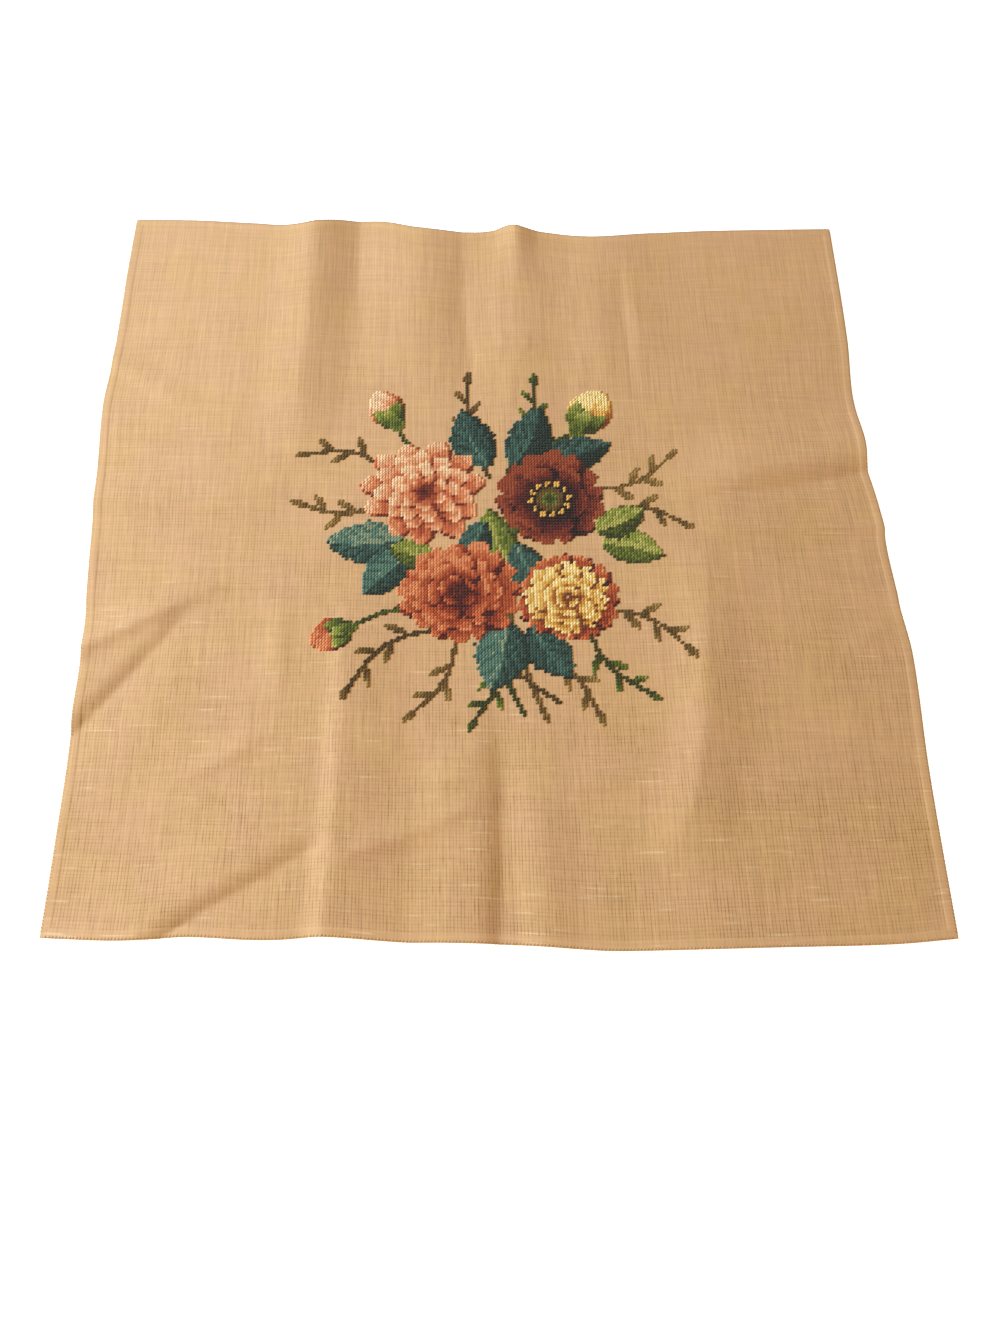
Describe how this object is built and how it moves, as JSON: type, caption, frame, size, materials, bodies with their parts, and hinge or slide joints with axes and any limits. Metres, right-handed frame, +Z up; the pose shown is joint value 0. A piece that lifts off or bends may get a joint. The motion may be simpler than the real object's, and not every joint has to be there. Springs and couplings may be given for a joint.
{
  "type": "needlepoint canvas panel",
  "caption": "Square of unbleached double-thread needlepoint canvas with a narrow turned hem and a wool-stitched floral spray at its centre, lying flat with its old storage folds.",
  "frame": {"origin": "centre of the panel's footprint, on the surface it lies on", "axes": "+Z up out of the worked side, +X to the right of the design, +Y towards the top of the design"},
  "size_m": [0.5992, 0.594, 0.0087],
  "materials": {
    "canvas": "open double-thread cotton canvas, unbleached, sized and matt",
    "wool": "tapestry wool in tent stitch, soft and matt",
    "hem_thread": "cotton overcasting thread, matt"
  },
  "bodies": {
    "root": {"canvas_panel": "canvas"}
  },
  "joints": []
}
